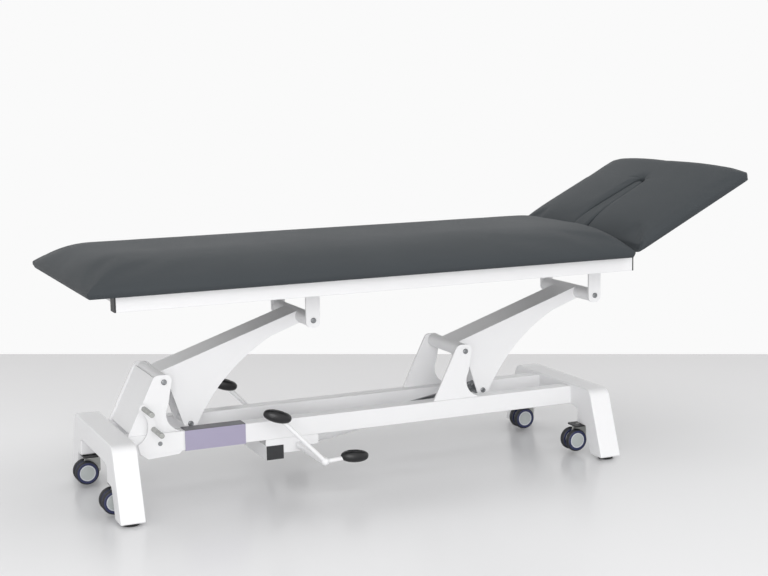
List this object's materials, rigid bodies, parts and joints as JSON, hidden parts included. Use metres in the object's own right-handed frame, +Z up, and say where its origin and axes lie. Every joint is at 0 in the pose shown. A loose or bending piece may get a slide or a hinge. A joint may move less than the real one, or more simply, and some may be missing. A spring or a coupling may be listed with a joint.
{
  "type": "treatment couch",
  "caption": "Two-section treatment couch with a padded top, tilting head section with face slot, foot-pumped hydraulic arm lift and retractable twin-wheel casters.",
  "frame": {"origin": "on the floor under the middle of the whole couch, midway between its foot edge and its head tip at rest", "axes": "+X towards the head end, +Z up, +Y to the couch's left as seen from the foot end"},
  "size_m": [1.9186, 0.7, 0.8191],
  "materials": {
    "white_paint": "gloss powder coat",
    "upholstery": "soft matt vinyl",
    "board": "black sealed plywood",
    "rubber": "matt",
    "cap_plastic": "fine grain",
    "sleeve": "satin",
    "zinc": "zinc plated",
    "steel": "turned",
    "black_steel": "satin",
    "tyre": "dark blue rubber",
    "hub": "satin grey",
    "pedal_rubber": "glossy moulded"
  },
  "bodies": {
    "base": {"end_frame_head": "white_paint", "end_frame_foot": "white_paint", "end_frame_legs": "white_paint", "rubber_feet": "rubber", "base_rail_near": "white_paint", "base_rail_far": "white_paint", "rail_sleeve": "sleeve", "tower_plates": "white_paint", "tower_web": "white_paint", "tower_pivot_shafts": "steel", "tower_screws": "steel", "pump_bar": "white_paint", "pump_bar_caps": "cap_plastic", "pump_hangers": "white_paint", "pump_body": "black_steel", "cylinder_pin": "steel", "peg_bolt": "steel"},
    "foot_arm": {"lift_arm_foot": "white_paint", "horn_spacer": "white_paint", "horn_screws_foot": "steel"},
    "head_arm": {"lift_arm_head": "white_paint", "horn_screws_head": "steel"},
    "top_frame": {"hanger_plates": "white_paint", "hanger_pivot_shafts": "steel", "hanger_screws": "steel", "top_rail_near": "white_paint", "top_rail_far": "white_paint", "rail_end_caps": "cap_plastic", "cross_members": "white_paint", "main_board": "board", "main_pad": "upholstery", "ratchet_discs": "steel"},
    "head_section": {"head_frame": "white_paint", "head_board": "board", "head_pad": "upholstery"},
    "face_plug": {"face_plug": "upholstery"},
    "cylinder": {"cylinder_barrel": "white_paint"},
    "rod": {"cylinder_rod": "steel"},
    "pump_pedals": {"pedal_shaft": "white_paint", "pedal_rods_near": "white_paint", "pedal_rods_far": "white_paint", "pedal_pads": "pedal_rubber"},
    "wheel_lift_lever": {"peg_plate": "white_paint", "pegs": "zinc"},
    "carrier_foot_near": {"caster_carrier_foot_near": "black_steel"},
    "fork_foot_near": {"caster_fork_foot_near": "zinc"},
    "wheels_foot_near": {"caster_tyres_foot_near": "tyre", "caster_hubs_foot_near": "hub"},
    "carrier_foot_far": {"caster_carrier_foot_far": "black_steel"},
    "fork_foot_far": {"caster_fork_foot_far": "zinc"},
    "wheels_foot_far": {"caster_tyres_foot_far": "tyre", "caster_hubs_foot_far": "hub"},
    "carrier_head_near": {"caster_carrier_head_near": "black_steel"},
    "fork_head_near": {"caster_fork_head_near": "zinc"},
    "wheels_head_near": {"caster_tyres_head_near": "tyre", "caster_hubs_head_near": "hub"},
    "carrier_head_far": {"caster_carrier_head_far": "black_steel"},
    "fork_head_far": {"caster_fork_head_far": "zinc"},
    "wheels_head_far": {"caster_tyres_head_far": "tyre", "caster_hubs_head_far": "hub"}
  },
  "joints": [
    {"name": "lift", "type": "hinge", "parent": "base", "child": "foot_arm", "pos_m": [-0.7128, 0, 0.3214], "axis": [0, -1, 0], "range_deg": [-24, 35]},
    {"name": "head_arm_pivot", "type": "hinge", "parent": "base", "child": "head_arm", "pos_m": [0.1626, 0, 0.3214], "axis": [0, -1, 0], "range_deg": [-24, 35]},
    {"name": "top_frame_pivot", "type": "hinge", "parent": "foot_arm", "child": "top_frame", "pos_m": [-0.30761, 0, 0.45423], "axis": [0, -1, 0], "range_deg": [-35, 24]},
    {"name": "head_tilt", "type": "hinge", "parent": "top_frame", "child": "head_section", "pos_m": [0.5837, 0, 0.5673], "axis": [0, -1, 0], "range_deg": [-90, 8]},
    {"name": "face_plug_lift", "type": "slide", "parent": "head_section", "child": "face_plug", "axis": [-0.4493, 0, 0.8934], "range_m": [0, 0.08]},
    {"name": "cylinder_swing", "type": "hinge", "parent": "base", "child": "cylinder", "pos_m": [-0.2973, 0, 0.103], "axis": [0, -1, 0], "range_deg": [-3.2, 4.6]},
    {"name": "rod_slide", "type": "slide", "parent": "cylinder", "child": "rod", "axis": [0.9873, 0, 0.1588], "range_m": [-0.06, 0.085]},
    {"name": "pump_pedal", "type": "hinge", "parent": "base", "child": "pump_pedals", "pos_m": [-0.3473, 0, 0.113], "axis": [0, 1, 0], "range_deg": [-12, 14], "stiffness_Nm_per_rad": 12},
    {"name": "wheel_lift", "type": "hinge", "parent": "base", "child": "wheel_lift_lever", "pos_m": [-0.7323, -0.117, 0.163], "axis": [0, -1, 0], "range_deg": [0, 20]},
    {"name": "carrier_drop_foot_near", "type": "slide", "parent": "base", "child": "carrier_foot_near", "axis": [0, 0, -1], "range_m": [0, 0.0141]},
    {"name": "swivel_foot_near", "type": "hinge", "parent": "carrier_foot_near", "child": "fork_foot_near", "pos_m": [-0.8563, -0.154, 0.08], "axis": [0, 0, 1], "continuous": true},
    {"name": "roll_foot_near", "type": "hinge", "parent": "fork_foot_near", "child": "wheels_foot_near", "pos_m": [-0.8703, -0.154, 0.0395], "axis": [0, 1, 0], "continuous": true},
    {"name": "carrier_drop_foot_far", "type": "slide", "parent": "base", "child": "carrier_foot_far", "axis": [0, 0, -1], "range_m": [0, 0.0141]},
    {"name": "swivel_foot_far", "type": "hinge", "parent": "carrier_foot_far", "child": "fork_foot_far", "pos_m": [-0.8563, 0.154, 0.08], "axis": [0, 0, 1], "continuous": true},
    {"name": "roll_foot_far", "type": "hinge", "parent": "fork_foot_far", "child": "wheels_foot_far", "pos_m": [-0.8703, 0.154, 0.0395], "axis": [0, 1, 0], "continuous": true},
    {"name": "carrier_drop_head_near", "type": "slide", "parent": "base", "child": "carrier_head_near", "axis": [0, 0, -1], "range_m": [0, 0.0141]},
    {"name": "swivel_head_near", "type": "hinge", "parent": "carrier_head_near", "child": "fork_head_near", "pos_m": [0.5027, -0.154, 0.08], "axis": [0, 0, 1], "continuous": true},
    {"name": "roll_head_near", "type": "hinge", "parent": "fork_head_near", "child": "wheels_head_near", "pos_m": [0.4887, -0.154, 0.0395], "axis": [0, 1, 0], "continuous": true},
    {"name": "carrier_drop_head_far", "type": "slide", "parent": "base", "child": "carrier_head_far", "axis": [0, 0, -1], "range_m": [0, 0.0141]},
    {"name": "swivel_head_far", "type": "hinge", "parent": "carrier_head_far", "child": "fork_head_far", "pos_m": [0.5027, 0.154, 0.08], "axis": [0, 0, 1], "continuous": true},
    {"name": "roll_head_far", "type": "hinge", "parent": "fork_head_far", "child": "wheels_head_far", "pos_m": [0.4887, 0.154, 0.0395], "axis": [0, 1, 0], "continuous": true}
  ],
  "couplings": [
    {"joint": "head_arm_pivot", "follows": "lift", "ratio": 1},
    {"joint": "top_frame_pivot", "follows": "lift", "ratio": -1},
    {"joint": "rod_slide", "follows": "lift", "m_per_rad": 0.13407},
    {"joint": "cylinder_swing", "follows": "lift", "ratio": 0.128},
    {"joint": "carrier_drop_foot_near", "follows": "wheel_lift", "m_per_rad": 0.040107},
    {"joint": "carrier_drop_foot_far", "follows": "wheel_lift", "m_per_rad": 0.040107},
    {"joint": "carrier_drop_head_near", "follows": "wheel_lift", "m_per_rad": 0.040107},
    {"joint": "carrier_drop_head_far", "follows": "wheel_lift", "m_per_rad": 0.040107}
  ]
}
